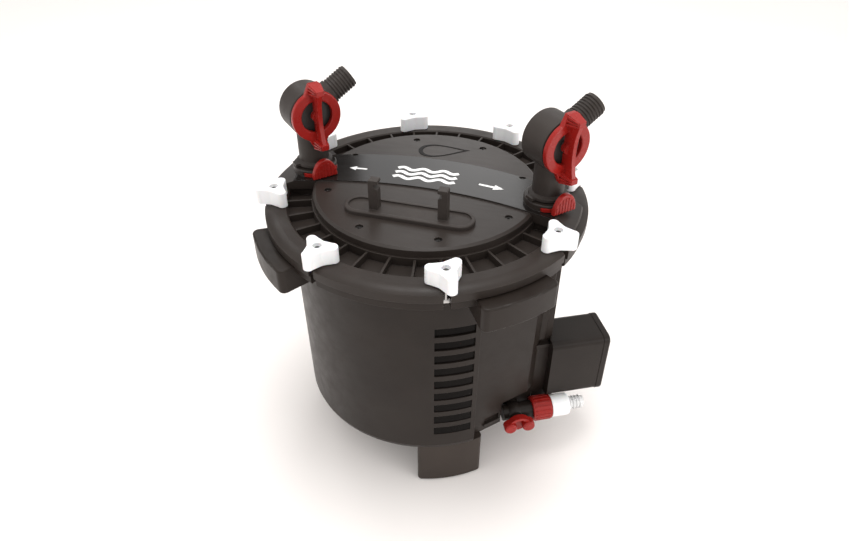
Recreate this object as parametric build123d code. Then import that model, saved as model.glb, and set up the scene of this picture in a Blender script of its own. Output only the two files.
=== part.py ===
from build123d import *
from math import acos, cos, degrees, radians, sin
import os

# External canister filter for an aquarium. Millimetres, floor at z = 0, drum axis on z.
# The two hose ports lie on the x axis: inlet at -x, outlet at +x. The front foot is near -y.

# ---- driving dimensions ----
WALL = 3.5
DRUM_RADIUS = 152.0          # outside, at the bottom
DRUM_TOP_RADIUS = 154.2      # outside, under the flange
DRUM_BOTTOM = 65.0
FLANGE_BOTTOM = 303.0
SPLIT_Z = 313.0              # joint between canister and lid
FLANGE_RADIUS = 178.0
RIM_RADIUS = 180.3
RIM_TOP = 327.7
POCKET_OUTER = 155.7
POCKET_INNER = 128.8
POCKET_FLOOR = 318.0
PLATE_RADIUS = 126.6
PLATE_TOP = 337.7
BAND_RAISE = 1.6
SCREW_CIRCLE = 109.8
POCKET_RIBS = 32

KNOB_CIRCLE = 168.0
KNOB_FIRST = 202.5           # azimuth of knob 1, then one every 45 degrees
KNOB_COUNT = 8
PIVOT_Z = 308.0              # axis of the swing bolts' T-bars
KNOB_SEAT = 328.0
KNOB_HEIGHT = 18.4
KNOB_TURNS = (4, 6, 14, 18, 8, 3, 11, 7)   # degrees each nut stands past pointing outwards
BOLT_RADIUS = 3.0
TBAR_RADIUS = 3.5
RUNNING = 0.08               # radial clearance of a running fit

PORT_X = 134.5
PORT_TOP = 339.2
VALVE_Z = 410.3
BARREL_RADIUS = 28.2
BARREL_FRONT = 15.5
BARREL_REAR = 16.5
NECK_RADIUS = 17.0
BARB_AZIMUTH = 47.0          # direction that both hose barbs point to, seen from above
BARB_RISE = 30.0
BARB_CORE = 12.3
BARB_CREST = 13.3
BARB_LENGTH = 58.5
ROTOR_RADIUS = 22.0
STEM_RADIUS = 4.0
HANDLE_BACK = 17.6           # rear of the lever's ring, in front of the barrel's middle

EAR_AZIMUTHS = (225.0, 315.0)
EAR_FACE = 196.5
EAR_WIDTH = 26.5             # degrees round the drum
EAR_TOP, EAR_BOTTOM = 312.4, 283.5

FRONT = 297.5                # azimuth of the front foot and the ribbed panel
SIDE = 27.5                  # azimuth that the control box and the drain point to
BOX_NEAR, BOX_FAR = 128.0, 192.0
BOX_REAR, BOX_FRONT = 63.0, 115.0
BOX_LOW, BOX_HIGH = 85.0, 171.5
SADDLE_FRONT = 103.0
RAIL_FRONT, LIP_FRONT = 98.0, 101.5
GLAND_U, GLAND_Z = 165.0, 112.0
BOX_HOLLOW = 156.0           # radius about the drum's axis that the box's near end follows
BAY_AZIMUTH = 317.0
BAY_DISTANCE = 140.5
BAY_LEFT = -24.3
BAY_TOP = EAR_BOTTOM
BAR_COUNT = 9
BAR_PITCH = 19.2
BAR_FIRST = 92.0
BAR_HEIGHT = 12.0
BAR_WIDTH = 16.5             # degrees round the drum
BAR_FLOOR = DRUM_RADIUS - 0.9
DRAIN_OFFSET = 119.0         # distance of the drain's axis in front of the drum's axis
DRAIN_Z = 72.5
DRAIN_U = 86.0
BALL_RADIUS = 8.0
NOZZLE_RADIUS = 7.0
NOZZLE_CREST = 8.4
CREST_LAND = 0.8             # flat length on top of each hose ring
ALCOVE = (67.0, 132.0, 103.0, 98.0)   # left, right, rear and top of the drain's recess in the drum

BASKET_RADIUS = 132.0
BASKET_BORE = 20.0
BASKET_HEIGHT = 60.0
BASKET_FIRST = 102.2
RISER_INNER = 11.0
MOTOR_SCREWS = (45, 135, 225, 315)
MOTOR_CIRCLE = 62.0

ON_BASE = (Align.CENTER, Align.CENTER, Align.MIN)


# ---- helpers ----
def disc(radius, low, high, x=0, y=0):
    """Upright cylinder between two heights."""
    return Pos(x, y, low) * Cylinder(radius, high - low, align=ON_BASE)


def tube(outer, inner, low, high, x=0, y=0):
    """Upright ring between two heights."""
    return disc(outer, low, high, x, y) - disc(inner, low - 1, high + 1, x, y)


def turned(points):
    """Solid of revolution about z from (radius, z) points."""
    return revolve(Plane.XZ * make_face(Polyline(*points, close=True)), Axis.Z)


def sector(inner, outer, low, high, middle, width):
    """Piece of a ring, centred on an azimuth."""
    face = make_face(Polyline((inner, low), (outer, low), (outer, high), (inner, high), close=True))
    return Rot(0, 0, middle - width / 2) * revolve(Plane.XZ * face, Axis.Z, revolution_arc=width)


def block(x0, x1, y0, y1, z0, z1):
    """Box by its limits."""
    return Pos((x0 + x1) / 2, (y0 + y1) / 2, (z0 + z1) / 2) * Box(x1 - x0, y1 - y0, z1 - z0)


def rod(start, end, radius):
    """Round bar from one point to another."""
    way = Vector(*end) - Vector(*start)
    return Plane(origin=start, z_dir=way) * Cylinder(radius, way.length, align=ON_BASE)


def around(shape, count, first=0.0, step=None):
    """Copies of a shape turned about z."""
    step = 360.0 / count if step is None else step
    return [Rot(0, 0, first + step * k) * shape for k in range(count)]


def joined(shapes):
    """One solid from a list of touching or overlapping shapes."""
    return shapes[0].fuse(*shapes[1:]) if len(shapes) > 1 else shapes[0]


def group(shapes):
    """Separate solids kept in one node."""
    return Compound(children=list(shapes))


def knob_azimuths():
    return [(KNOB_FIRST + 45.0 * k) % 360 for k in range(KNOB_COUNT)]


def side_frame(shape):
    """Place a shape drawn with x outwards and y towards the rear into the side direction."""
    return Rot(0, 0, SIDE) * shape


# ---- canister ----
def alcove(grow):
    """Recess at the drum's lower edge that holds the drain valve."""
    left, right, rear, top = ALCOVE
    return side_frame(block(left - grow, right + grow, -170, -rear + grow, 50, top + grow))


def drum_envelope():
    """Outside of the drum with the flat bay beside the front panel."""
    body = turned([(0, DRUM_BOTTOM), (DRUM_RADIUS - 7, DRUM_BOTTOM), (DRUM_RADIUS - 1.6, DRUM_BOTTOM + 2),
                   (DRUM_RADIUS, DRUM_BOTTOM + 7), (DRUM_TOP_RADIUS, FLANGE_BOTTOM), (0, FLANGE_BOTTOM)])
    bay = block(BAY_DISTANCE, 200, BAY_LEFT, 80, DRUM_BOTTOM - 5, BAY_TOP)
    slot = block(BAY_DISTANCE - 2.4, 200, -3, 18, DRUM_BOTTOM + 10, DRUM_BOTTOM + 19)
    ledge = block(BAY_DISTANCE - 10, BAY_DISTANCE + 2.2, -5, 18, DRUM_BOTTOM + 8, DRUM_BOTTOM + 11)
    return body - Rot(0, 0, BAY_AZIMUTH) * (bay + slot) + Rot(0, 0, BAY_AZIMUTH) * ledge - alcove(0)


def drum_cavity():
    """Water space of the drum, a wall's thickness inside the envelope."""
    floor = DRUM_BOTTOM + WALL + 0.5
    space = turned([(0, floor), (DRUM_RADIUS - 8, floor), (DRUM_RADIUS - WALL, DRUM_BOTTOM + 10),
                    (DRUM_TOP_RADIUS - WALL, FLANGE_BOTTOM), (DRUM_TOP_RADIUS - WALL, SPLIT_Z + 1),
                    (0, SPLIT_Z + 1)])
    bay = block(BAY_DISTANCE - WALL - 1, 200, BAY_LEFT - WALL, 80, DRUM_BOTTOM - 5, BAY_TOP + WALL)
    return space - Rot(0, 0, BAY_AZIMUTH) * bay - alcove(WALL)


def ear():
    """Carrying grip on the drum's shoulder, curved like the drum, drawn along +x."""
    solid = sector(146, EAR_FACE, EAR_BOTTOM, EAR_TOP, 0, EAR_WIDTH)
    outer = solid.edges().filter_by(Axis.Z).sort_by(Axis.X)[-2:]
    solid = fillet(outer, 7)
    for face in solid.faces().filter_by(Axis.Z):
        solid = solid.fillet(2.2, [e for e in face.edges() if e.center().X > 160])
    return solid


def panel_bar(inset):
    """Segment of a ring up the front panel, smaller all round by the inset."""
    width = BAR_WIDTH - 2 * degrees(inset / DRUM_RADIUS)
    low, high = inset, BAR_HEIGHT - inset
    return sector(BAR_FLOOR, DRUM_RADIUS + (8 if inset == 0 else -0.35), low, high, FRONT, width)


def bar_heights():
    return [BAR_FIRST + BAR_PITCH * k for k in range(BAR_COUNT)]


def panel_inlays():
    """Plain glossy bars let into the drum's front panel."""
    return group([Pos(0, 0, z) * panel_bar(0.12) for z in bar_heights()])


def bolt_pocket():
    """Open slot with the T-bar's bearing, drawn along +x."""
    slot = block(KNOB_CIRCLE - 3.6, 200, -3.6, 3.6, FLANGE_BOTTOM - 1, 330)
    bearing = rod((KNOB_CIRCLE, -9.3, PIVOT_Z), (KNOB_CIRCLE, 9.3, PIVOT_Z), TBAR_RADIUS + RUNNING)
    return slot + bearing


def drain_hole():
    return side_frame(rod((DRAIN_U, -ALCOVE[2] - 1, DRAIN_Z), (DRAIN_U, -ALCOVE[2] + 14, DRAIN_Z), 5.5))


def canister_body():
    flange = disc(FLANGE_RADIUS, FLANGE_BOTTOM, SPLIT_Z)
    flange = chamfer(flange.edges().group_by(Axis.Z)[0], 1.5)
    shoulder = disc(159.5, 291.0, FLANGE_BOTTOM + 1)
    shoulder = chamfer(shoulder.edges().group_by(Axis.Z)[0], 2.0)
    outside = joined([drum_envelope(), shoulder, flange] + [Rot(0, 0, a) * ear() for a in EAR_AZIMUTHS])
    well = disc(20.0, 28.0, DRUM_BOTTOM + 1)
    body = outside + well - drum_cavity() - disc(17.5, 30.5, DRUM_BOTTOM + 10)
    groove = tube(160.1, 154.9, SPLIT_Z - 2.0, SPLIT_Z + 1)
    body = body - groove - drain_hole()
    for azimuth in knob_azimuths():
        body = body - Rot(0, 0, azimuth) * bolt_pocket()
    for z in bar_heights():
        body = body - Pos(0, 0, z) * panel_bar(0)
    for azimuth in MOTOR_SCREWS:
        body = body - Rot(0, 0, azimuth) * disc(1.6, 60, 67.5, x=MOTOR_CIRCLE)
    return body


def foot():
    """One leg under the drum, drawn along +x, standing on its rubber pad."""
    leg = sector(126, 148.5, 3.0, DRUM_BOTTOM, 0, 31.5)
    upright = leg.edges().filter_by(Axis.Z)
    leg = fillet(upright, 5)
    return leg - block(120, 141, -22, 22, 8, DRUM_BOTTOM - 6)


def feet():
    return group(around(foot(), 3, first=FRONT))


def rubber_feet():
    pad = sector(129, 145.5, 0.0, 3.0, 0, 27)
    return group(around(fillet(pad.edges().filter_by(Axis.Z), 4), 3, first=FRONT))


# ---- lid ----
def rim_outline():
    """Section of the lid's outer rim, with the shoulder that lets the knobs swing past."""
    reach = KNOB_SEAT - PIVOT_Z - 0.3
    edge = acos((RIM_RADIUS - KNOB_CIRCLE) / reach)
    half = (edge + radians(90)) / 2
    end = (RIM_RADIUS, PIVOT_Z + reach * sin(edge))
    middle = (KNOB_CIRCLE + reach * cos(half), PIVOT_Z + reach * sin(half))
    low = SPLIT_Z + 0.2
    left = Polyline((KNOB_CIRCLE, RIM_TOP), (POCKET_OUTER + 1.5, RIM_TOP), (POCKET_OUTER, RIM_TOP - 1.5),
                    (POCKET_OUTER, POCKET_FLOOR), (POCKET_INNER, POCKET_FLOOR), (POCKET_INNER, 328.0),
                    (0, 328.0), (0, 322.0), (123.0, 322.0), (123.0, 314.0), (146.5, 314.0), (146.5, 300.0),
                    (149.6, 300.0), (149.6, low), (RIM_RADIUS - 1, low), (RIM_RADIUS, low + 1), end)
    shoulder = ThreePointArc(end, middle, (KNOB_CIRCLE, RIM_TOP))
    return make_face(left.edges() + shoulder.edges())


def lid():
    body = revolve(Plane.XZ * rim_outline(), Axis.Z)
    rib_length = POCKET_OUTER - POCKET_INNER + 2
    rib = Pos((POCKET_OUTER + POCKET_INNER) / 2, 0, 322.2) * Box(rib_length, 2.2, 8.6)
    bosses = [disc(25.0, 314.0, 328.0, x=s * PORT_X) for s in (-1, 1)]
    body = joined([body] + around(rib, POCKET_RIBS) + bosses)
    for s in (-1, 1):
        body = body - disc(NECK_RADIUS, POCKET_FLOOR, 340, x=s * PORT_X)
        body = body - disc(10.0, 290, POCKET_FLOOR + 1, x=s * PORT_X)
    for azimuth in knob_azimuths():
        slot = block(KNOB_CIRCLE - 3.6, 200, -3.6, 3.6, SPLIT_Z - 1, 330)
        screw = disc(1.6, 323.5, 329, x=SCREW_CIRCLE)
        body = body - Rot(0, 0, azimuth) * slot - Rot(0, 0, azimuth) * screw
    return body


def band_outline(low, high):
    """Arched band from port to port, between two large arcs."""
    upper = disc(350.0, low, high, y=-293.0)
    lower = disc(425.0, low - 1, high + 1, y=-435.5)
    return upper - lower


def lid_cover():
    """Round cover with the arched band, whose ends reach over the ports to the rim."""
    plate = turned([(0, 328.0), (PLATE_RADIUS, 328.0), (PLATE_RADIUS, PLATE_TOP - 2.0),
                    (PLATE_RADIUS - 3.0, PLATE_TOP), (0, PLATE_TOP)])
    top = PLATE_TOP + BAND_RAISE
    wing = turned([(0, 328.0), (172.0, 328.0), (173.5, 329.5), (172.0, 331.5), (148.0, top), (0, top)])
    cover = plate + (band_outline(320, 345) & wing)
    for s in (-1, 1):
        collar = disc(25.0, 330, PORT_TOP + 7.5, x=s * PORT_X)
        cover = cover + fillet(collar.edges().group_by(Axis.Z)[-1], 1.5)
        cover = cover - disc(NECK_RADIUS + 0.3, 320, 350, x=s * PORT_X) - port_frame(s, clip_way())
    for azimuth in knob_azimuths():
        well = disc(1.7, 320, 345, x=SCREW_CIRCLE) + disc(4.2, 333.5, 345, x=SCREW_CIRCLE)
        cover = cover - Rot(0, 0, azimuth) * well
    return cover


def case_screws():
    """All the 3 mm screws: eight countersunk in the cover, four pan-headed under the motor housing."""
    cover = disc(1.5, 324.0, 333.6, x=SCREW_CIRCLE) + disc(3.9, 333.6, 336.2, x=SCREW_CIRCLE)
    cover = cover - Pos(SCREW_CIRCLE, 0, 336.0) * (Box(4.4, 1.0, 2.4) + Box(1.0, 4.4, 2.4))
    motor = disc(1.5, 57.5, 67.0, x=MOTOR_CIRCLE) + disc(3.0, 57.5, 59.9, x=MOTOR_CIRCLE)
    screws = [Rot(0, 0, azimuth) * cover for azimuth in knob_azimuths()]
    return group(screws + [Rot(0, 0, azimuth) * motor for azimuth in MOTOR_SCREWS])


def clip_tray():
    """Long tray on the cover with two upright hooked posts."""
    base = SlotOverall(142, 33)
    solid = extrude(base, 4.6)
    solid = fillet(solid.edges().group_by(Axis.Z)[-1], 1.4)
    well = Pos(0, 0, 2.6) * extrude(SlotOverall(134, 25), 4)
    tray = solid - well
    side = Polyline((-5, 2), (5, 2), (5, 36.5), (-5.5, 36.5), (-5.5, 33.0), (-1.0, 32.0), (-1.0, 28.5),
                    (-5, 26.5), close=True)
    post = Pos(0, 5.0, 0) * extrude(Plane.XZ * make_face(side), 10)
    post = fillet(post.edges().filter_by(Axis.Y).group_by(Axis.Z)[-1], 1.2)
    posts = [Pos(-37.5, 0, 0) * mirror(post, Plane.YZ), Pos(37.5, 0, 0) * post]
    return Pos(0, -65.5, PLATE_TOP) * joined([tray] + posts)


def lid_seal():
    return tube(160.0, 155.0, SPLIT_Z - 2.0, SPLIT_Z + 0.2)


def outlet_duct():
    """Water way under the lid from the riser to the outlet port."""
    z = 303.0
    elbow = Pos(0, 0, z) * Sphere(10.8)
    parts = [rod((0, 0, z), (PORT_X, 0, z), 9.0), elbow, Pos(PORT_X, 0, z) * Sphere(9.0),
             disc(RISER_INNER - RUNNING, 284, z), disc(9.0, z, 314.0, x=PORT_X)]
    bend = Pos(0, 0, z) * Sphere(8.0)
    ways = [rod((0, 0, z), (PORT_X, 0, z), 7.2), bend, Pos(PORT_X, 0, z) * Sphere(7.2),
            disc(8.0, 280, z), disc(7.2, z, 320.0, x=PORT_X)]
    return joined(parts) - joined(ways)


# ---- baskets ----
def basket(low):
    """Round basket with slotted floor and wall, and a bore for the riser."""
    high = low + BASKET_HEIGHT
    wall = tube(BASKET_RADIUS, BASKET_RADIUS - 2.5, low, high)
    core = tube(BASKET_BORE, BASKET_BORE - 2.5, low, high)
    floor = tube(BASKET_RADIUS - 1, BASKET_BORE - 1, low, low + 2.5)
    body = joined([wall, core, floor])
    body = body - joined(around(block(34, 118, -3.2, 3.2, low - 1, low + 4), 18))
    body = body - joined(around(block(120, 140, -6, 6, low + 10, high - 10), 18, first=10))
    return body


def foam(low):
    """Ring of filter foam inside a basket."""
    return tube(BASKET_RADIUS - 3.0, BASKET_BORE + 0.5, low + 3.0, low + BASKET_HEIGHT - 3.0)


def basket_cover():
    low = BASKET_FIRST + 3 * (BASKET_HEIGHT + 0.5)
    body = tube(BASKET_RADIUS, BASKET_BORE - 2.5, low, low + 3)
    return body - joined(around(block(36, 120, -2.6, 2.6, low - 1, low + 4), 24))


def basket_handles():
    """Two low lift loops on the basket cover."""
    low = BASKET_FIRST + 3 * (BASKET_HEIGHT + 0.5) + 3
    loop = block(-30, 30, -4, 4, low, low + 11) - block(-22, 22, -5, 5, low - 1, low + 6.5)
    return group([Pos(0, s * 66, 0) * loop for s in (-1, 1)])


def riser_tube():
    return tube(RISER_INNER + 2.5, RISER_INNER, 92.0, 293.6)


# ---- pump ----
def motor_housing():
    """Dry cover of the motor under the drum."""
    cup = turned([(0, 16), (52, 16), (58, 22), (58, 60), (68, 60), (68, DRUM_BOTTOM), (55, DRUM_BOTTOM),
                  (55, 24), (50, 19), (0, 19)])
    for azimuth in MOTOR_SCREWS:
        cup = cup - Rot(0, 0, azimuth) * disc(1.9, 55, 70, x=MOTOR_CIRCLE)
    return cup


def motor_stator():
    """Laminated core with two coils round the well."""
    core = block(-46, 46, -22, 22, 34, 52) - disc(20.4, 30, 60)
    coils = [block(s * 37 - 9, s * 37 + 9, -24, 24, 30, 56) for s in (-1, 1)]
    return joined([core] + coils)


def impeller():
    """Magnet rotor in the well, with a bladed disc above."""
    body = disc(16.5, 33, 64) + disc(30, 70.5, 72.5) + disc(6, 64, 86)
    blade = block(5, 29, -1.1, 1.1, 72.4, 84)
    return joined([body] + around(blade, 6)) - disc(2.0 + RUNNING, 30, 90)


def impeller_shaft():
    return disc(2.0, 31.0, 92.0)


def impeller_bushes():
    """Lower and upper rubber bushes that hold the shaft's ends."""
    lower = disc(6, 30.5, 32.7) - disc(2.0, 31.0, 34)
    upper = tube(5.0, 2.0, 87.0, 92.0)
    return group([lower, upper])


def impeller_cover():
    """Chamber over the blades, with a neck for the riser."""
    outer = turned([(0, 69), (40, 69), (40, 74), (34, 88), (RISER_INNER - RUNNING, 90),
                    (RISER_INNER - RUNNING, 104), (0, 104)])
    inner = turned([(0, 68), (32, 68), (32, 82), (28, 86), (9, 87), (9, 105), (0, 105)])
    arm = block(5.0, 9.5, -1.2, 1.2, 87.5, 91.5)
    cover = joined([outer - inner] + around(arm, 3))
    return cover - joined(around(block(30, 45, -4, 4, 66, 71), 8))


# ---- control box ----
def rounded_bar(x0, x1, rear, front, low, high, radius):
    """Bar along x with its long edges rounded, in the side frame."""
    bar = block(x0, x1, -front, -rear, low, high)
    return fillet(bar.edges().filter_by(Axis.X), radius)


def box_bracket():
    """Saddle between the drum's wall and the control box, with its lipped rail up to the flange."""
    saddle = block(60, BOX_NEAR, -SADDLE_FRONT, -BOX_REAR - 20, BOX_LOW + 1, BOX_HIGH - 5)
    skirt = block(90, BOX_NEAR, -SADDLE_FRONT + 2, -BOX_REAR - 20, DRAIN_Z - 2, BOX_LOW + 4)
    drip = block(110, 142, -SADDLE_FRONT + 3, -BOX_REAR - 20, DRAIN_Z - 2, BOX_LOW - 0.4)
    rail_low = BOX_HIGH + 0.4
    rail = block(108, 131.5, -RAIL_FRONT, -86, rail_low, FLANGE_BOTTOM)
    side = make_face(Polyline((104, rail_low), (122, rail_low), (127, FLANGE_BOTTOM), (104, FLANGE_BOTTOM),
                              close=True))
    lip = extrude(Plane.XZ.offset(RAIL_FRONT - 2) * side, LIP_FRONT - RAIL_FRONT + 2)
    lip = fillet(lip.edges().group_by(Axis.Y)[0].sort_by(Axis.X)[-1], 1.6)
    web = block(112, BOX_NEAR, -RAIL_FRONT, -86, BOX_HIGH - 6, BOX_HIGH + 2)
    ledge = block(96, BOX_NEAR, -SADDLE_FRONT - 2.5, -SADDLE_FRONT + 1, BOX_HIGH - 9, BOX_HIGH - 5)
    shape = side_frame(saddle + skirt + drip + rail + lip + web + ledge) - drum_envelope()
    shape = shape - disc(159.6, 290.8, 310)
    return max(shape.solids(), key=lambda solid: solid.volume)


def control_box():
    """Rounded box whose near end follows the drum."""
    outside = rounded_bar(BOX_NEAR, BOX_FAR, BOX_REAR, BOX_FRONT, BOX_LOW, BOX_HIGH, 8)
    inside = rounded_bar(BOX_NEAR + 2.5, BOX_FAR + 1, BOX_REAR + 2.5, BOX_FRONT - 2.5, BOX_LOW + 2.5,
                         BOX_HIGH - 2.5, 6)
    gland_hole = rod((GLAND_U, -BOX_REAR - 5, GLAND_Z), (GLAND_U, -BOX_REAR + 5, GLAND_Z), 6.0)
    shell = side_frame(outside) - disc(BOX_HOLLOW, BOX_LOW - 5, BOX_HIGH + 5)
    space = side_frame(inside) - disc(BOX_HOLLOW + 2.5, BOX_LOW - 5, BOX_HIGH + 5)
    return shell - space - side_frame(gland_hole)


def control_box_cap():
    """End cap with a lip inside the box and a softened outer edge."""
    rear, front = BOX_REAR - 0.6, BOX_FRONT + 0.6
    cap = rounded_bar(BOX_FAR, BOX_FAR + 8, rear, front, BOX_LOW - 0.6, BOX_HIGH + 0.6, 8.6)
    cap = fillet(cap.edges().group_by(Axis.X)[-1], 2.5)
    rear, front = BOX_REAR + 2.7, BOX_FRONT - 2.7
    lip = rounded_bar(BOX_FAR - 6, BOX_FAR + 1, rear, front, BOX_LOW + 2.7, BOX_HIGH - 2.7, 5.8)
    rear, front = BOX_REAR + 5, BOX_FRONT - 5
    hollow = rounded_bar(BOX_FAR - 7, BOX_FAR + 5, rear, front, BOX_LOW + 5, BOX_HIGH - 5, 4)
    return side_frame(cap + lip - hollow)


def circuit_board():
    board = block(146, 185, -108, -72, 120, 121.6)
    parts = [block(148, 160, -100, -84, 121.6, 134), disc(6, 121.6, 139, x=170, y=-96),
             disc(6, 121.6, 139, x=170, y=-80), block(148, 157, -80, -74, 121.6, 127)]
    return side_frame(joined([board] + parts))


def cord_gland():
    """Hollow gland for the mains lead on the box's rear wall."""
    wall = -BOX_REAR
    u, z = GLAND_U, GLAND_Z
    body = rod((u, wall - 4.5, z), (u, wall + 14, z), 5.9)
    body = body + rod((u, wall, z), (u, wall + 6, z), 9.5)
    body = body + rod((u, wall - 4.5, z), (u, wall - 2.5, z), 8)
    return side_frame(body - rod((u, wall - 6, z), (u, wall + 16, z), 3.6))


# ---- drain ----
def drain_valve_body():
    """Black ball-valve housing in the drum's recess, with a threaded outlet along x."""
    y, z, u = -DRAIN_OFFSET, DRAIN_Z, DRAIN_U
    centre = Pos(u, y, z)
    parts = [centre * Sphere(12.5), rod((u - 15, y, z), (u, y, z), 9.5),
             rod((u, y, z), (u + 33.5, y, z), 11.0), rod((u, y, z), (u, -ALCOVE[2], z), 9.0),
             rod((u, y, z), (u, y - 16, z), 8.5)]
    body = joined(parts) - centre * Sphere(BALL_RADIUS + RUNNING)
    body = body - rod((u, y, z), (u + 40, y, z), 5.5) - rod((u, y, z), (u, y + 30, z), 5.5)
    return side_frame(body - rod((u, y, z), (u, y - 30, z), 4.0 + RUNNING))


def drain_knob():
    """Ball with its bent bore, stem and two-lobed head in one moving piece."""
    y, z, u = -DRAIN_OFFSET, DRAIN_Z, DRAIN_U
    ball = Pos(u, y, z) * Rot(0, 0, 180) * Sphere(BALL_RADIUS)
    stem = rod((u, y, z), (u, y - 19, z), 4.0)
    head = rod((u, y - 16.5, z), (u, y - 20, z), 11.0)
    lobes = [rod((u + s * 11.2, y - 17.5, z), (u + s * 11.2, y - 28, z), 7.6) for s in (-1, 1)]
    lobes = [fillet(lobe.edges().group_by(Axis.Y)[0], 2.6) for lobe in lobes]
    arch = rod((u, y - 17.5, z), (u, y - 25, z), 14.2) - rod((u, y - 20, z), (u, y - 30, z), 10.4)
    arch = arch - block(u - 20, u + 20, y - 40, y, z - 20, z)
    knob = joined([ball, stem, head, arch] + lobes)
    bore = rod((u, y - 4.6, z), (u, y + 10, z), 4.9)
    return side_frame(knob - bore - rod((u + 1.5, y, z), (u + 12, y, z), 4.4))


def drain_nut():
    """Ribbed union nut on the valve's outlet."""
    y, z, u = -DRAIN_OFFSET, DRAIN_Z, DRAIN_U
    body = rod((u + 21.5, y, z), (u + 46, y, z), 15.0)
    body = fillet(body.edges().filter_by(GeomType.CIRCLE), 1.2)
    rib = Pos(15.0, 0, u + 34) * Box(1.2, 1.6, 19)
    ribs = [Pos(0, y, z) * Rot(0, 90, 0) * shape for shape in around(rib, 18)]
    nut = joined([body] + ribs)
    nut = nut - rod((u + 10, y, z), (u + 41.2, y, z), 11.0 + RUNNING)
    return side_frame(nut - rod((u + 30, y, z), (u + 50, y, z), 9.0 + RUNNING))


def drain_connector():
    """White hose connector clamped by the nut."""
    y, z, u = -DRAIN_OFFSET, DRAIN_Z, DRAIN_U
    flange = rod((u + 33.5, y, z), (u + 41.0, y, z), 10.9)
    neck = rod((u + 40, y, z), (u + 50, y, z), 9.0)
    sleeve = rod((u + 46.6, y, z), (u + 70, y, z), 14.0)
    sleeve = fillet(sleeve.edges().filter_by(GeomType.CIRCLE).sort_by(Axis.X)[-1:], 4)
    body = joined([flange, neck, sleeve]) - rod((u + 20, y, z), (u + 58, y, z), 5.5)
    return side_frame(body - rod((u + 56, y, z), (u + 80, y, z), 7.1))


def drain_nozzle():
    """Translucent ribbed nozzle in the connector."""
    y, z, u = -DRAIN_OFFSET, DRAIN_Z, DRAIN_U
    core = rod((u + 58, y, z), (u + 89, y, z), NOZZLE_RADIUS)
    for k in range(4):
        start = u + 71.5 + 4.2 * k
        crest = rod((start, y, z), (start + CREST_LAND, y, z), NOZZLE_CREST)
        place = Plane(origin=(start + CREST_LAND, y, z), z_dir=(1, 0, 0))
        core = core + crest + place * Cone(NOZZLE_CREST, NOZZLE_RADIUS - 0.1, 2.4, align=ON_BASE)
    return side_frame(core - rod((u + 50, y, z), (u + 95, y, z), 5.0))


# ---- hose valves ----
def port_frame(side, shape):
    """Place a shape drawn about the port's axis, with x along the barb and -y towards the handle."""
    return Pos(side * PORT_X, 0, 0) * Rot(0, 0, BARB_AZIMUTH) * shape


def clip_way():
    """Slots of the collar that the lock clip slides in."""
    z = PORT_TOP + 0.4
    return block(-20.4, 20.4, -40, 12.6, z, z + 4.6)


def lock_clip():
    """U-shaped clip that follows the collar, with a ribbed thumb pad."""
    z = PORT_TOP + 0.6
    plate = disc(26.0, z, z + 4.2) & block(-19.9, 19.9, -30, 12, z - 1, z + 6)
    plate = plate - block(-15.1, 15.1, -17.6, 20, z - 1, z + 6)
    pad = extrude(Plane.XZ.offset(25.3) * Pos(0, z) * Ellipse(14.6, 21.5), 5.0)
    pad = pad & block(-20, 20, -40, 0, z, z + 30)
    pad = fillet(pad.edges().group_by(Axis.Y)[0], 1.6)
    for k in range(-3, 4):
        x, top = 3.8 * k, z + 17.6 - k * k
        pad = pad + block(x - 0.7, x + 0.7, -30.9, -29, z + 0.8, top)
    return joined([plate, pad])


def barb_direction():
    return cos(radians(BARB_RISE)), sin(radians(BARB_RISE))


def along_barb(distance):
    run, rise = barb_direction()
    return distance * run, 0, VALVE_Z + distance * rise


def barb_ring(start):
    """Ring on the barb with a flat crest and a taper towards the tip."""
    run, rise = barb_direction()
    crest = rod(along_barb(start), along_barb(start + CREST_LAND), BARB_CREST)
    place = Plane(origin=along_barb(start + CREST_LAND), z_dir=(run, 0, rise))
    return crest + place * Cone(BARB_CREST, BARB_CORE - 0.1, 2.0, align=ON_BASE)


def valve_body():
    """Neck, rounded barrel and hose barb of a shut-off valve."""
    z, top = VALVE_Z, PORT_TOP
    neck = turned([(0, 319.0), (15.0, 319.0), (15.0, 322.0), (13.4, 322.0), (13.4, 325.0), (16.9, 325.0),
                   (16.9, top + 0.4), (15.0, top + 0.4), (15.0, top + 5.2), (NECK_RADIUS, top + 7.5),
                   (NECK_RADIUS + 3.5, top + 9), (NECK_RADIUS + 3.5, top + 12), (NECK_RADIUS, top + 14),
                   (NECK_RADIUS, z), (0, z)])
    barrel = rod((0, -BARREL_FRONT, z), (0, BARREL_REAR, z), BARREL_RADIUS)
    barrel = fillet(barrel.edges().filter_by(GeomType.CIRCLE).sort_by(Axis.Y)[:1], 1.5)
    dome = Pos(0, -17.5, z) * Sphere(44) & block(-40, 40, BARREL_REAR - 0.1, 40, z - 40, z + 40)
    dome = dome & rod((0, 0, z), (0, 40, z), BARREL_RADIUS)
    barb = rod(along_barb(15), along_barb(BARB_LENGTH), BARB_CORE)
    shoulder = rod(along_barb(15), along_barb(31.5), 14.2)
    rings = [barb_ring(33.5 + 3.5 * k) for k in range(7)]
    lugs = [block(s * 22 - 3, s * 22 + 3, -5, 5, top + 9, top + 12) for s in (-1, 1)]
    body = joined([neck, barrel, dome, barb, shoulder] + rings + lugs)
    body = body - rod((0, -20, z), (0, 12.5, z), ROTOR_RADIUS + RUNNING)
    body = body - disc(10.0, 310, z) - rod(along_barb(0), along_barb(80), 9.5)
    return max(body.solids(), key=lambda solid: solid.volume)


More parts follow.
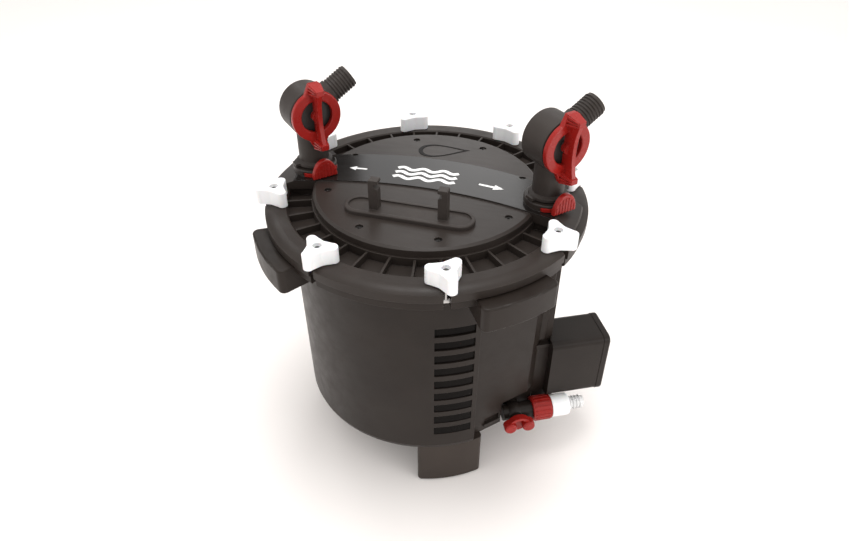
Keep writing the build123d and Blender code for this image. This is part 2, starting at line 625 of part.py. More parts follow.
def valve_rotor():
    """Plug inside the barrel, with its bent water way and its stem."""
    z = VALVE_Z
    plug = rod((0, -15, z), (0, 12.3, z), ROTOR_RADIUS)
    stem = rod((0, -22, z), (0, -14, z), STEM_RADIUS)
    way = disc(9.0, z - 30, z) + rod(along_barb(0), along_barb(30), 9.0) + Pos(0, 0, z) * Sphere(9.0)
    return plug + stem - way


def slab(y0, y1, half0, half1, low0, high0, low1, high1):
    """Four-sided wedge between two upright rectangles at y0 and y1."""
    near = Plane.XZ.offset(-y0) * Pos(0, (low0 + high0) / 2) * Rectangle(2 * half0, high0 - low0)
    far = Plane.XZ.offset(-y1) * Pos(0, (low1 + high1) / 2) * Rectangle(2 * half1, high1 - low1)
    return loft([near, far])


def handle_tip():
    """Upper thumb grip of the lever, ribbed on both sides."""
    back = -HANDLE_BACK
    wedge = slab(back - 4, back - 20, 6.2, 3.8, 25.0, 37.6, 28.0, 33.6)
    for k in range(3):
        root, end = 26.8 + 4.0 * k, 28.8 + 1.8 * k
        wedge = wedge + slab(back - 5, back - 19, 7.5, 5.1, root, root + 1.6, end, end + 1.0)
    return wedge


def valve_handle():
    """Red lever: a ring with two tips, a tall fin across it and a ribbed grip at each end."""
    back = HANDLE_BACK
    ring = Circle(28.0) - Circle(17.6)
    point = make_face(Polyline((-13.5, 21), (-5.5, 37.5), (5.5, 37.5), (13.5, 21), close=True))
    plate = ring + point + Rot(0, 0, 180) * point - Circle(17.6)
    body = extrude(Plane.XZ.offset(back) * plate, 5)
    body = fillet(body.edges().group_by(Axis.Y)[0], 1.3)
    tip, shallow, middle = -back - 20, -back - 15.5, -back - 14
    side = Spline((tip, -32), (shallow, -16), (middle, 0), (shallow, 16), (tip, 32))
    close = Polyline((tip, 32), (-back, 35), (-back, -35), (tip, -32))
    fin = Pos(-2.3, 0, 0) * extrude(Plane.YZ * make_face(side.edges() + close.edges()), 4.6)
    hub = rod((0, -back, 0), (0, -back - 6, 0), 5.6)
    tips = [handle_tip(), mirror(handle_tip(), Plane.XY)]
    body = joined([body, fin, hub] + tips)
    return Pos(0, 0, VALVE_Z) * (body - rod((0, -10, 0), (0, -22.1, 0), STEM_RADIUS + 0.02))


def port_seals():
    ring = tube(NECK_RADIUS - 0.02, 13.42, 322.3, 324.7)
    return group([Pos(s * PORT_X, 0, 0) * ring for s in (-1, 1)])


# ---- clamps ----
def knob_outline():
    """Three rounded arms with hollow sides."""
    reach, end = 14.9, 5.5
    arm = make_face(Polyline((0, -10.5), (reach, -end), (reach, end), (0, 10.5), close=True))
    wing = arm + Pos(reach, 0) * Circle(end)
    outline = wing + Rot(0, 0, 120) * wing + Rot(0, 0, 240) * wing
    inner = [v for v in outline.vertices() if 9 < Vector(v.X, v.Y, 0).length < 12]
    return fillet(inner, 9)


def knob(turn):
    """White three-winged nut, drawn about its own axis at x = KNOB_CIRCLE."""
    body = extrude(knob_outline(), KNOB_HEIGHT)
    body = fillet(body.edges().group_by(Axis.Z)[-1], 1.6)
    body = chamfer(body.edges().group_by(Axis.Z)[0], 0.6)
    body = body - disc(BOLT_RADIUS + RUNNING, -1, KNOB_HEIGHT + 1)
    body = body - disc(4.6, KNOB_HEIGHT - 4, KNOB_HEIGHT + 1)
    return Pos(KNOB_CIRCLE, 0, KNOB_SEAT) * Rot(0, 0, turn) * body


def bolt():
    """Steel swing bolt with its T-bar, drawn along +x."""
    bar = rod((KNOB_CIRCLE, -9, PIVOT_Z), (KNOB_CIRCLE, 9, PIVOT_Z), TBAR_RADIUS)
    shank = disc(BOLT_RADIUS, PIVOT_Z, KNOB_SEAT + KNOB_HEIGHT - 2.5, x=KNOB_CIRCLE)
    shank = chamfer(shank.edges().group_by(Axis.Z)[-1], 0.6)
    return bar + shank


# ---- output ----
def nodes():
    shapes = {
        "canister_body": canister_body(), "feet": feet(), "rubber_feet": rubber_feet(),
        "lid": lid(), "lid_cover": lid_cover(), "case_screws": case_screws(), "clip_tray": clip_tray(),
        "lid_seal": lid_seal(), "port_seals": port_seals(), "panel_inlays": panel_inlays(),
        "outlet_duct": outlet_duct(), "basket_cover": basket_cover(), "basket_handles": basket_handles(),
        "riser_tube": riser_tube(), "motor_housing": motor_housing(), "motor_stator": motor_stator(),
        "impeller": impeller(), "impeller_shaft": impeller_shaft(), "impeller_bushes": impeller_bushes(),
        "impeller_cover": impeller_cover(), "box_bracket": box_bracket(), "control_box": control_box(),
        "control_box_cap": control_box_cap(), "circuit_board": circuit_board(), "cord_gland": cord_gland(),
        "drain_valve_body": drain_valve_body(), "drain_knob": drain_knob(), "drain_nut": drain_nut(),
        "drain_connector": drain_connector(), "drain_nozzle": drain_nozzle(),
    }
    for k, level in enumerate(("lower", "middle", "upper")):
        low = BASKET_FIRST + k * (BASKET_HEIGHT + 0.5)
        shapes[f"basket_{level}"] = basket(low)
        shapes[f"foam_{level}"] = foam(low)
    for name, side in (("inlet", -1), ("outlet", 1)):
        shapes[f"{name}_valve_body"] = port_frame(side, valve_body())
        shapes[f"{name}_valve_rotor"] = port_frame(side, valve_rotor())
        shapes[f"{name}_valve_handle"] = port_frame(side, valve_handle())
        shapes[f"{name}_lock_clip"] = port_frame(side, lock_clip())
    for k, azimuth in enumerate(knob_azimuths()):
        shapes[f"knob_{k + 1}"] = Rot(0, 0, azimuth) * knob(KNOB_TURNS[k])
        shapes[f"bolt_{k + 1}"] = Rot(0, 0, azimuth) * bolt()
    return shapes


os.makedirs("parts", exist_ok=True)
for name, shape in nodes().items():
    export_step(shape, f"parts/{name}.step")
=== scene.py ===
import math

import bmesh
import bpy
from mathutils import Euler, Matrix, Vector, noise


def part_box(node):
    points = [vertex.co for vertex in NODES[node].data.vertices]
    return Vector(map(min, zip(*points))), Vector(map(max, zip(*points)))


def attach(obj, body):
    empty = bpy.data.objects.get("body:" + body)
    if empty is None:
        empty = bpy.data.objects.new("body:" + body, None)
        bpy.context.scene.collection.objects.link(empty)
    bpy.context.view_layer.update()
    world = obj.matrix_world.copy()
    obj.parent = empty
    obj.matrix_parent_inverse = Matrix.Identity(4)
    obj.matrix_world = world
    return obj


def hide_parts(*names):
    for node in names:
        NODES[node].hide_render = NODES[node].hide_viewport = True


# Canister filter: materials, detail pieces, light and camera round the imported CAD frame. Metres.
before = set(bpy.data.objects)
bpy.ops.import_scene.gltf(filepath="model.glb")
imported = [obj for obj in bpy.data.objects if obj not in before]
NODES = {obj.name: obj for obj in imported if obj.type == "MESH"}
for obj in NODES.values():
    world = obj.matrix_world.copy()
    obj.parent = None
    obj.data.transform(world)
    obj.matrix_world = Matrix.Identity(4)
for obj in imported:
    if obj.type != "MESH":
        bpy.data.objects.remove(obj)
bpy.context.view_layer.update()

PLATE_TOP = 0.3377
BAND_TOP = 0.3393

# Heights between which a look fades in or out.
BAND_IN = (0.3382, 0.3386)
BAND_OUT = (0.3396, 0.3400)
# Painted shade: below these heights the pocket floors are darkened.
POCKET_SHADE = (0.3180, 0.3262)
BOLT_TIPS = (0.3330, 0.3350)

# ---- camera ----
camera = bpy.data.objects.new("camera", bpy.data.cameras.new("camera"))
bpy.context.scene.collection.objects.link(camera)
bpy.context.scene.camera = camera
camera.location = (0.18761, -0.63880, 0.72341)
camera.rotation_euler = Euler((0.919468, 0.004024, 0.286657))
camera.data.sensor_width = 36.0
camera.data.lens = 28.874
camera.data.dof.use_dof = False
bpy.context.scene.view_settings.view_transform = "Standard"
bpy.context.scene.view_settings.look = "None"


# ---- shader helpers ----
class Tree:
    """Short way to add and join shader nodes."""

    def __init__(self, name):
        self.material = bpy.data.materials.new(name)
        self.material.use_nodes = True
        self.tree = self.material.node_tree
        self.shader = self.tree.nodes["Principled BSDF"]
        self.place = self.add("ShaderNodeTexCoord").outputs["Object"]

    def add(self, kind, **values):
        node = self.tree.nodes.new(kind)
        for key, value in values.items():
            if hasattr(node, key):
                setattr(node, key, value)
            else:
                node.inputs[key.replace("_", " ")].default_value = value
        return node

    def join(self, output, target):
        self.tree.links.new(output, target)

    def axes(self):
        """The x, y and z of the place."""
        node = self.add("ShaderNodeSeparateXYZ")
        self.join(self.place, node.inputs[0])
        return node.outputs

    def noise(self, scale, detail=3.0, rough=0.55, stretch=None):
        node = self.add("ShaderNodeTexNoise", Scale=scale, Detail=detail, Roughness=rough)
        if stretch:
            mapping = self.add("ShaderNodeMapping", Scale=stretch)
            self.join(self.place, mapping.inputs["Vector"])
            self.join(mapping.outputs["Vector"], node.inputs["Vector"])
        else:
            self.join(self.place, node.inputs["Vector"])
        return node.outputs["Fac"]

    def spread(self, value, low, high, to_low=0.0, to_high=1.0):
        node = self.add("ShaderNodeMapRange")
        node.clamp = True
        node.inputs["From Min"].default_value = low
        node.inputs["From Max"].default_value = high
        node.inputs["To Min"].default_value = to_low
        node.inputs["To Max"].default_value = to_high
        self.join(value, node.inputs["Value"])
        return node.outputs["Result"]

    def maths(self, operation, first, second):
        node = self.add("ShaderNodeMath")
        node.operation = operation
        for socket, value in zip(node.inputs, (first, second)):
            if isinstance(value, (int, float)):
                socket.default_value = value
            else:
                self.join(value, socket)
        return node.outputs[0]

    def mix(self, factor, first, second):
        node = self.add("ShaderNodeMix")
        node.data_type = "RGBA"
        self.join(factor, node.inputs[0])
        for socket, value in zip((node.inputs[6], node.inputs[7]), (first, second)):
            if isinstance(value, tuple):
                socket.default_value = (*value, 1.0)
            else:
                self.join(value, socket)
        return node.outputs[2]

    def blend(self, factor, first, second):
        """Mix of two plain numbers."""
        node = self.add("ShaderNodeMix")
        self.join(factor, node.inputs[0])
        self.join(first, node.inputs[2])
        self.join(second, node.inputs[3])
        return node.outputs[0]

    def drift(self, scale, detail, dark, light, low=0.35):
        """Colour that drifts between two tones."""
        return self.mix(self.spread(self.noise(scale, detail), low, 1 - low), dark, light)

    def worn(self, colour, mask, amount, tone):
        """Paler colour where the mask marks the edges."""
        return self.mix(self.maths("MULTIPLY", mask, amount), colour, tone)

    def dusty(self, colour, amount, tone, scale=2600.0):
        """Fine specks of dust over the colour."""
        return self.mix(self.spread(self.noise(scale, 2.0, 0.7), 0.70, 0.80, 0.0, amount), colour, tone)

    def edges(self, radius):
        """Soft normal over edges, and a mask that is 1 on them."""
        bevel = self.add("ShaderNodeBevel", samples=4, Radius=radius)
        geometry = self.add("ShaderNodeNewGeometry")
        dot = self.add("ShaderNodeVectorMath")
        dot.operation = "DOT_PRODUCT"
        self.join(bevel.outputs["Normal"], dot.inputs[0])
        self.join(geometry.outputs["Normal"], dot.inputs[1])
        return bevel.outputs["Normal"], self.spread(dot.outputs["Value"], 0.80, 0.985, 1.0, 0.0)

    def bump(self, height, strength, distance, normal=None):
        node = self.add("ShaderNodeBump", Strength=strength, Distance=distance)
        self.join(height, node.inputs["Height"])
        if normal is not None:
            self.join(normal, node.inputs["Normal"])
        return node.outputs["Normal"]

    def set(self, **values):
        for key, value in values.items():
            socket = self.shader.inputs[key.replace("_", " ")]
            if hasattr(value, "is_linked"):
                self.join(value, socket)
            elif isinstance(value, tuple) and len(value) == 3 and socket.type == "RGBA":
                socket.default_value = (*value, 1.0)
            else:
                socket.default_value = value


def plastic(name, dark, light, rough, spread=0.07, grain=1500.0, depth=0.00006, strength=0.35, worn=None,
            dust=0.0, **extra):
    """Moulded plastic: drifting colour, uneven gloss, fine texture and paler, smoother edges."""
    t = Tree(name)
    colour = t.drift(14.0, 4.0, dark, light)
    soft, mask = t.edges(0.0007)
    if worn:
        patch = t.spread(t.noise(120.0, 3.0), 0.35, 0.62)
        colour = t.worn(colour, mask, t.maths("MULTIPLY", patch, 0.8), worn)
    if dust:
        colour = t.dusty(colour, dust, (0.55, 0.53, 0.50))
    gloss = t.spread(t.noise(55.0, 5.0, 0.6), 0.3, 0.7, rough - spread, rough + spread)
    gloss = t.maths("SUBTRACT", gloss, t.maths("MULTIPLY", mask, 0.06))
    normal = t.bump(t.noise(70.0, 2.0), 0.10, 0.0006, soft)
    normal = t.bump(t.noise(grain, 2.0, 0.6), strength, depth, normal)
    t.set(Base_Color=colour, Roughness=gloss, Normal=normal, **extra)
    return t.material


# ---- materials ----
SATIN = {"Specular_IOR_Level": 0.18}
WARM_EDGE = (0.095, 0.083, 0.075)
WARM_DUST = (0.50, 0.46, 0.43)

black = plastic("black_plastic", (0.0165, 0.0120, 0.0097), (0.0220, 0.0164, 0.0134), 0.40,
                worn=(0.050, 0.041, 0.035), dust=0.08, **SATIN)
valve_black = plastic("valve_plastic", (0.034, 0.0275, 0.0245), (0.044, 0.0365, 0.0325), 0.44,
                      worn=(0.10, 0.09, 0.082), dust=0.10, depth=0.00009, **SATIN)
# Painted reflection: the feet are the black plastic made paler, standing in for the bright floor they
# reflect.
foot_black_painted_reflection = plastic("foot_plastic_painted_reflection", (0.034, 0.0255, 0.0210), (0.042, 0.0320, 0.0265), 0.42,
                     worn=(0.06, 0.05, 0.044), dust=0.12, **SATIN)
gloss_black = plastic("gloss_black", (0.0035, 0.0028, 0.0024), (0.006, 0.0048, 0.0042), 0.24, 0.04,
                      strength=0.10, worn=(0.035, 0.029, 0.025), Specular_IOR_Level=0.05)
box_black = plastic("box_plastic", (0.0150, 0.0110, 0.0090), (0.0200, 0.0150, 0.0125), 0.33, 0.05,
                    strength=0.16, worn=(0.07, 0.060, 0.053), dust=0.06, **SATIN)
red = plastic("red_plastic", (0.25, 0.0100, 0.0072), (0.31, 0.0130, 0.0097), 0.27, 0.06, grain=900.0,
              strength=0.12, worn=(0.55, 0.05, 0.04), Specular_IOR_Level=0.22, Coat_Weight=0.12,
              Coat_Roughness=0.12, Subsurface_Weight=0.04, Subsurface_Scale=0.002)
white = plastic("white_plastic", (0.88, 0.885, 0.895), (0.94, 0.945, 0.955), 0.34, 0.07, grain=1100.0,
                strength=0.16, worn=(0.93, 0.93, 0.92), dust=0.05, Subsurface_Weight=0.08,
                Subsurface_Scale=0.003)
inner_grey = plastic("inner_plastic", (0.020, 0.018, 0.016), (0.030, 0.027, 0.025), 0.5,
                     worn=(0.09, 0.085, 0.08))


def lid_plastic():
    """Satin cover whose raised band is smoother and darker."""
    t = Tree("lid_plastic")
    _, _, height = t.axes()
    band = t.maths("MULTIPLY", t.spread(height, *BAND_IN), t.spread(height, *BAND_OUT, 1.0, 0.0))
    plain = t.drift(11.0, 4.0, (0.022, 0.0168, 0.0142), (0.029, 0.0224, 0.0190))
    dark = t.drift(9.0, 4.0, (0.0085, 0.0067, 0.0060), (0.0120, 0.0096, 0.0085))
    soft, mask = t.edges(0.0006)
    colour = t.worn(t.mix(band, plain, dark), mask, 0.5, WARM_EDGE)
    colour = t.dusty(colour, 0.08, WARM_DUST, 2500.0)
    rub = t.noise(30.0, 4.0, 0.6, stretch=(1.0, 9.0, 1.0))
    satin = t.spread(rub, 0.3, 0.7, 0.33, 0.43)
    smooth = t.spread(rub, 0.3, 0.7, 0.10, 0.15)
    fine = t.bump(t.noise(1500.0, 2.0, 0.6), 0.22, 0.00005, soft)
    t.set(Base_Color=colour, Roughness=t.blend(band, satin, smooth), Normal=fine, Specular_IOR_Level=0.30)
    return t.material


def pocket_shaded_plastic():
    """Lid moulding with painted shade: darker down in the pockets between its ribs."""
    t = Tree("pocket_shaded_plastic")
    _, _, height = t.axes()
    pocket_shade = t.spread(height, *POCKET_SHADE, 1.0, 0.0)
    plain = t.drift(14.0, 4.0, (0.0230, 0.0175, 0.0146), (0.0300, 0.0232, 0.0196))
    soft, mask = t.edges(0.0007)
    plain = t.dusty(t.worn(plain, mask, 0.7, WARM_EDGE), 0.08, WARM_DUST)
    # Painted shade: the pockets' floors are mixed a little towards near-black.
    colour = t.mix(t.maths("MULTIPLY", pocket_shade, 0.05), plain, (0.006, 0.0048, 0.0042))
    gloss = t.spread(t.noise(55.0, 5.0, 0.6), 0.3, 0.7, 0.36, 0.48)
    normal = t.bump(t.noise(70.0), 0.10, 0.0006, soft)
    normal = t.bump(t.noise(1500.0, 2.0, 0.6), 0.35, 0.00006, normal)
    t.set(Base_Color=colour, Roughness=gloss, Normal=normal, Specular_IOR_Level=0.22)
    return t.material


def rubber_material():
    t = Tree("rubber")
    colour = t.drift(30.0, 5.0, (0.016, 0.016, 0.016), (0.030, 0.029, 0.028))
    soft, mask = t.edges(0.0006)
    colour = t.worn(colour, mask, 0.5, (0.07, 0.07, 0.068))
    gloss = t.spread(t.noise(80.0), 0.3, 0.7, 0.62, 0.8)
    t.set(Base_Color=colour, Roughness=gloss, Normal=t.bump(t.noise(900.0, 3.0, 0.7), 0.5, 0.0001, soft))
    return t.material


def steel_material():
    """Drawn steel, darker at the bolts' tips."""
    t = Tree("steel")
    streak = t.noise(160.0, 4.0, 0.6, stretch=(1.0, 1.0, 0.05))
    colour = t.mix(t.spread(streak, 0.3, 0.7), (0.46, 0.45, 0.44), (0.66, 0.65, 0.64))
    _, _, height = t.axes()
    colour = t.mix(t.spread(height, *BOLT_TIPS), colour, (0.11, 0.107, 0.104))
    soft, mask = t.edges(0.0004)
    colour = t.worn(colour, mask, 0.35, (0.82, 0.82, 0.81))
    gloss = t.spread(streak, 0.3, 0.7, 0.24, 0.40)
    t.set(Base_Color=colour, Metallic=1.0, Roughness=gloss, Normal=t.bump(streak, 0.25, 0.00004, soft))
    return t.material


def dark_steel_material():
    t = Tree("dark_steel")
    colour = t.drift(200.0, 4.0, (0.045, 0.042, 0.040), (0.085, 0.080, 0.076), 0.3)
    soft, mask = t.edges(0.0003)
    colour = t.worn(colour, mask, 0.7, (0.32, 0.31, 0.30))
    gloss = t.spread(t.noise(300.0), 0.3, 0.7, 0.25, 0.42)
    t.set(Base_Color=colour, Metallic=1.0, Roughness=gloss, Normal=t.bump(t.noise(800.0), 0.2, 0.00003, soft))
    return t.material


def nozzle_material():
    """Cloudy clear plastic that lets some light through."""
    t = Tree("clear_plastic")
    colour = t.drift(40.0, 4.0, (0.90, 0.905, 0.905), (0.97, 0.97, 0.97), 0.3)
    soft, _ = t.edges(0.0004)
    gloss = t.spread(t.noise(90.0), 0.3, 0.7, 0.22, 0.36)
    normal = t.bump(t.noise(300.0, 3.0), 0.2, 0.00008, soft)
    t.set(Base_Color=colour, Roughness=gloss, Normal=normal, Transmission_Weight=0.30, IOR=1.47)
    return t.material


def foam_material():
    """Blue open-cell foam, with painted shade in its pores."""
    t = Tree("foam")
    cells = t.add("ShaderNodeTexVoronoi", Scale=420.0)
    t.join(t.place, cells.inputs["Vector"])
    pore_relief_and_shade = t.spread(cells.outputs["Distance"], 0.15, 0.55)
    cloud = t.drift(20.0, 4.0, (0.030, 0.060, 0.115), (0.050, 0.090, 0.160))
    # Painted shade: the pores are darkened towards deep blue; the same pattern also gives their relief.
    colour = t.mix(pore_relief_and_shade, (0.008, 0.014, 0.028), cloud)
    t.set(Base_Color=colour, Roughness=0.92, Normal=t.bump(pore_relief_and_shade, 0.9, 0.0008), Sheen_Weight=0.2,
          Sheen_Roughness=0.6)
    return t.material


def board_material():
    """Green circuit board with raised tracks."""
    t = Tree("board")
    tracks = t.add("ShaderNodeTexBrick", Scale=160.0, Mortar_Size=0.03)
    t.join(t.place, tracks.inputs["Vector"])
    base = t.drift(60.0, 3.0, (0.010, 0.085, 0.030), (0.018, 0.120, 0.045), 0.3)
    colour = t.mix(t.maths("MULTIPLY", tracks.outputs["Fac"], 0.7), base, (0.04, 0.22, 0.08))
    gloss = t.spread(t.noise(90.0), 0.3, 0.7, 0.28, 0.45)
    t.set(Base_Color=colour, Roughness=gloss, Normal=t.bump(tracks.outputs["Fac"], 0.3, 0.0001))
    return t.material


def coil_material():
    """Copper windings, turn by turn, with painted shade between the turns."""
    t = Tree("coil")
    wave = t.add("ShaderNodeTexWave", Scale=260.0, Distortion=0.4)
    wave.bands_direction = "Z"
    t.join(t.place, wave.inputs["Vector"])
    # Painted shade: the grooves between the turns are darkened; the same bands also give their relief.
    colour = t.mix(wave.outputs["Fac"], (0.10, 0.035, 0.014), (0.42, 0.17, 0.07))
    gloss = t.spread(t.noise(120.0), 0.3, 0.7, 0.3, 0.5)
    t.set(Base_Color=colour, Metallic=0.6, Roughness=gloss, Normal=t.bump(wave.outputs["Fac"], 0.6, 0.0003))
    return t.material


def ink_material():
    t = Tree("ink_white")
    colour = t.drift(160.0, 4.0, (0.84, 0.84, 0.83), (0.92, 0.92, 0.91))
    gloss = t.spread(t.noise(300.0), 0.3, 0.7, 0.32, 0.48)
    t.set(Base_Color=colour, Roughness=gloss, Normal=t.bump(t.noise(1200.0), 0.15, 0.00003))
    return t.material


LID = lid_plastic()
POCKET_SHADED_LID = pocket_shaded_plastic()
DARK_STEEL = dark_steel_material()
RUBBER = rubber_material()
STEEL = steel_material()
NOZZLE = nozzle_material()
FOAM = foam_material()
INK = ink_material()
COIL = coil_material()
BOARD = board_material()

LOOKS = {
    "lid_cover": LID, "lid": POCKET_SHADED_LID, "feet": foot_black_painted_reflection, "case_screws": DARK_STEEL,
    "panel_inlays": gloss_black, "control_box": box_black, "control_box_cap": box_black,
    "clip_tray": valve_black, "drain_nozzle": NOZZLE, "drain_connector": white, "impeller": white,
    "circuit_board": BOARD, "motor_stator": COIL, "drain_valve_body": box_black,
    "drain_knob": red, "drain_nut": red, "impeller_shaft": STEEL,
    "riser_tube": inner_grey, "outlet_duct": inner_grey, "impeller_cover": inner_grey,
}
for side in ("inlet", "outlet"):
    LOOKS[f"{side}_valve_body"] = valve_black
    LOOKS[f"{side}_valve_rotor"] = inner_grey
    LOOKS[f"{side}_valve_handle"] = red
    LOOKS[f"{side}_lock_clip"] = red
for name in ("rubber_feet", "lid_seal", "port_seals", "impeller_bushes", "cord_gland"):
    LOOKS[name] = RUBBER
for start, material in (("knob_", white), ("bolt_", STEEL), ("foam_", FOAM), ("basket_", inner_grey)):
    LOOKS.update({name: material for name in NODES if name.startswith(start)})
for name, node in NODES.items():
    node.data.materials.clear()
    node.data.materials.append(LOOKS.get(name, black))


# ---- pieces ----
def piece(name, mesh_data, material, body, smooth=False):
    """New mesh object riding on a body."""
    vertices, faces = mesh_data
    mesh = bpy.data.meshes.new(name)
    mesh.from_pydata([tuple(v) for v in vertices], [], faces)
    mesh.update()
    built = bmesh.new()
    built.from_mesh(mesh)
    bmesh.ops.recalc_face_normals(built, faces=built.faces)
    built.to_mesh(mesh)
    built.free()
    for polygon in mesh.polygons:
        polygon.use_smooth = smooth
    obj = bpy.data.objects.new(name, mesh)
    bpy.context.scene.collection.objects.link(obj)
    obj.data.materials.append(material)
    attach(obj, body)
    return obj


def prism(outline, low, high):
    """Closed slab from a flat outline of (x, y) points."""
    count = len(outline)
    vertices = [(x, y, low) for x, y in outline] + [(x, y, high) for x, y in outline]
    faces = [tuple(range(count - 1, -1, -1)), tuple(range(count, 2 * count))]
    faces += [(k, (k + 1) % count, (k + 1) % count + count, k + count) for k in range(count)]
    return vertices, faces


def merged(parts):
    vertices, faces = [], []
    for more, others in parts:
        base = len(vertices)
        vertices += more
        faces += [tuple(i + base for i in face) for face in others]
    return vertices, faces


def turned(points, angle, x, y):
    c, s = math.cos(angle), math.sin(angle)
    return [(x + c * a - s * b, y + s * a + c * b) for a, b in points]


def stroke(line, width):
    """Outline of a ribbon of even width along a line of points."""
    left, right = [], []
    for k, point in enumerate(line):
        before, after = Vector(line[max(k - 1, 0)]), Vector(line[min(k + 1, len(line) - 1)])
        way = (after - before).normalized()
        side = Vector((-way.y, way.x)) * width / 2
        left.append(tuple(Vector(point) + side))
        right.append(tuple(Vector(point) - side))
    return left + right[::-1]


def wave_line(row):
    """Line of three waves across the band; row 0 is the middle one, -1 and 1 lie beside it."""
    steps, left, length, tilt = 40, -0.041, 0.071, 0.07
    middle, pitch, swing = 0.0170, 0.0102, 0.0027
    line = []
    for k in range(steps + 1):
        x = left + length * k / steps
        line.append((x, middle + pitch * row + tilt * x + swing * math.sin(k / steps * 6 * math.pi)))
    return line


def band_marks():
    """Plain flow arrows by the ports and three wave lines between them, printed on the band."""
    ink_top = BAND_TOP + 0.00025
    arrow = [(-9, -1.3), (2, -1.3), (2, -4.2), (9, 0), (2, 4.2), (2, 1.3), (-9, 1.3)]
    arrow = [(a / 1000, b / 1000) for a, b in arrow]
    parts = []
    for x, y, angle, size in ((-0.085, 0.010, 3.25, 1.15), (0.0715, 0.011, -0.13, 1.6)):
        outline = turned([(a * size, b * math.sqrt(size)) for a, b in arrow], angle, x, y)
        parts.append(prism(outline, BAND_TOP, ink_top))
    for row in (-1, 0, 1):
        parts.append(prism(stroke(wave_line(row), 0.0050), BAND_TOP, ink_top))
    piece("band_marks", merged(parts), INK, "filter")


def drop_outline(rim):
    """Outline of a water drop, smaller all round by the rim."""
    steps, half_width, half_length, taper = 64, 0.0225, 0.031, 1.6
    points = []
    for k in range(steps):
        a = 2 * math.pi * k / steps
        pull = math.sin(a / 2) ** taper
        points.append(((half_width - rim) * math.sin(a) * pull, (half_length - 1.5 * rim) * math.cos(a)))
    return turned(points, -1.30, -0.002, 0.083)


def cover_drop():
    """Plain raised outline of a water drop on the cover's rear part."""
    outer, inner = drop_outline(0.0), drop_outline(0.0034)
    count = len(outer)
    low, high = PLATE_TOP, PLATE_TOP + 0.0004
    rings = [(outer, low), (outer, high), (inner, high), (inner, low)]
    vertices = [(x, y, z) for outline, z in rings for x, y in outline]
    faces = []
    for r in range(4):
        for k in range(count):
            a, b = r * count + k, r * count + (k + 1) % count
            c, d = ((r + 1) % 4) * count + (k + 1) % count, ((r + 1) % 4) * count + k
            faces.append((a, b, c, d))
    piece("cover_drop", (vertices, faces), gloss_black, "filter")


def foam_section(outer, inner, bottom, top):
    """Closed section of a foam ring as (radius, height) points, with rounded corners."""
    soft, corner_steps, longest = 0.006, 4, 0.006
    corners = [(outer - soft, top - soft, 0), (inner + soft, top - soft, 90),
               (inner + soft, bottom + soft, 180), (outer - soft, bottom + soft, 270)]
    profile = []
    for r, z, first in corners:
        for k in range(corner_steps + 1):
            a = math.radians(first + 90 * k / corner_steps)
            profile.append((r + soft * math.cos(a), z + soft * math.sin(a)))
    dense = []
    for k, (r, z) in enumerate(profile):
        next_r, next_z = profile[(k + 1) % len(profile)]
        parts = max(1, round(math.dist((r, z), (next_r, next_z)) / longest))
        dense += [(r + (next_r - r) * j / parts, z + (next_z - z) * j / parts) for j in range(parts)]
    return dense


def foam_ring(node):
    """Open-cell foam ring with soft, slightly uneven faces."""
    low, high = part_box(node)
    outer, inner = (high.x - low.x) / 2, 0.0205
    section = foam_section(outer, inner, low.z, high.z)
    middle_radius, middle_height = (outer + inner) / 2, (high.z + low.z) / 2
    around, count = 144, len(section)
    vertices, faces = [], []
    for i in range(around):
        a = 2 * math.pi * i / around
        middle = Vector((middle_radius * math.cos(a), middle_radius * math.sin(a), middle_height))
        for r, z in section:
            spot = Vector((r * math.cos(a), r * math.sin(a), z))
            push = 0.0007 * noise.noise(spot * 60) + 0.0004 * noise.noise(spot * 210) - 0.0008
            vertices.append(spot + (spot - middle).normalized() * push)
    for i in range(around):
        here, beyond = i * count, ((i + 1) % around) * count
        for k in range(count):
            after = (k + 1) % count
            faces.append((here + k, beyond + k, beyond + after, here + after))
    obj = piece(node + "_ring", (vertices, faces), FOAM, "filter", smooth=True)
    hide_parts(node)


band_marks()
cover_drop()
for level in ("lower", "middle", "upper"):
    foam_ring(f"foam_{level}")


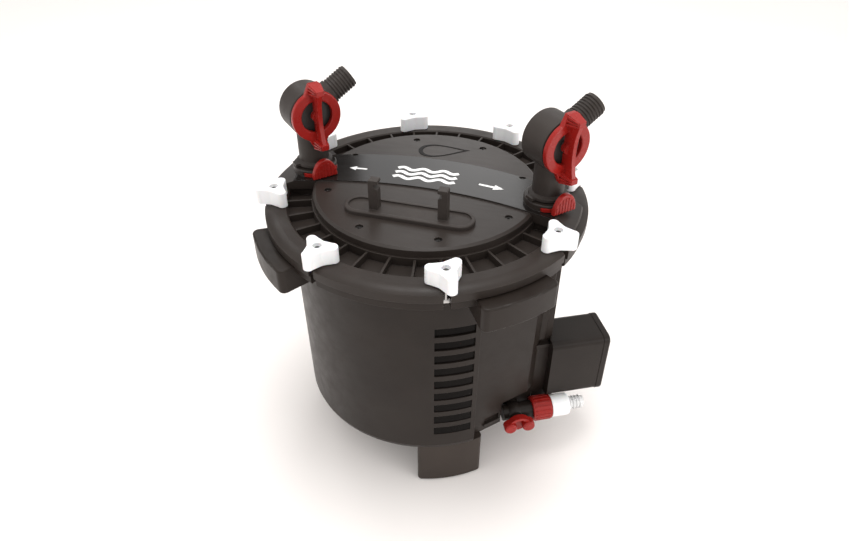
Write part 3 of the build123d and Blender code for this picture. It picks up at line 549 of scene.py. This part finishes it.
# ---- surroundings ----
def floor_plane():
    t = Tree("floor")
    colour = t.drift(3.0, 5.0, (0.93, 0.890, 0.865), (0.95, 0.910, 0.885), 0.3)
    t.set(Base_Color=colour, Roughness=0.6, Specular_IOR_Level=0.2)
    mesh = bpy.data.meshes.new("floor")
    half = 40.0
    corners = [(-half, -half, 0), (half, -half, 0), (half, half, 0), (-half, half, 0)]
    mesh.from_pydata(corners, [], [(0, 1, 2, 3)])
    obj = bpy.data.objects.new("floor", mesh)
    bpy.context.scene.collection.objects.link(obj)
    obj.data.materials.append(t.material)


def area_light(name, place, target, size, power):
    light = bpy.data.lights.new(name, "AREA")
    light.energy = power
    light.size = size
    obj = bpy.data.objects.new(name, light)
    obj.location = place
    obj.rotation_euler = (Vector(target) - Vector(place)).to_track_quat("-Z", "Y").to_euler()
    bpy.context.scene.collection.objects.link(obj)


class Sky(Tree):
    """The world's nodes, with the same short way to add and join them."""

    def __init__(self, name):
        world = bpy.data.worlds.new(name)
        bpy.context.scene.world = world
        world.use_nodes = True
        self.tree = world.node_tree
        self.shader = self.tree.nodes["Background"]
        self.place = self.add("ShaderNodeTexCoord").outputs["Generated"]


def studio_sky():
    """White tent, brighter overhead, with one dark flag behind the object on its left."""
    sky = Sky("studio")
    x, y, z = sky.axes()
    right = sky.spread(sky.maths("ADD", x, sky.maths("MULTIPLY", y, 0.30)), -0.05, 0.06)
    above = sky.spread(z, 0.50, 0.60)
    below = sky.spread(z, 0.16, 0.26, 1.0, 0.0)
    ahead = sky.spread(y, 0.20, 0.45, 1.0, 0.0)
    bright = sky.maths("MAXIMUM", sky.maths("MAXIMUM", right, above), sky.maths("MAXIMUM", below, ahead))
    tent = sky.spread(z, 0.25, 0.95, 0.80, 1.20)
    flag = sky.spread(bright, 0.0, 1.0, 0.10, 1.0)
    sky.set(Color=(1.0, 0.985, 0.97), Strength=sky.maths("MULTIPLY", tent, flag))


floor_plane()
studio_sky()
area_light("overhead", (0.0, 0.05, 2.3), (0, 0, 0.0), size=0.8, power=19.0)
area_light("front_left", (-1.5, -1.3, 1.0), (0, 0, 0.2), size=0.9, power=4.0)
area_light("front_right", (1.5, -0.8, 0.9), (0, 0, 0.25), size=0.6, power=3.0)
area_light("low_right", (1.4, -0.35, 0.25), (0.12, -0.05, 0.18), size=0.5, power=4.0)
area_light("back_soft", (-0.38, 1.5, 1.08), (0.0, 0, 0.33), size=0.6, power=1.8)
area_light("back_left", (-1.35, 1.3, 1.55), (-0.1, 0, 0.31), size=0.5, power=3.0)
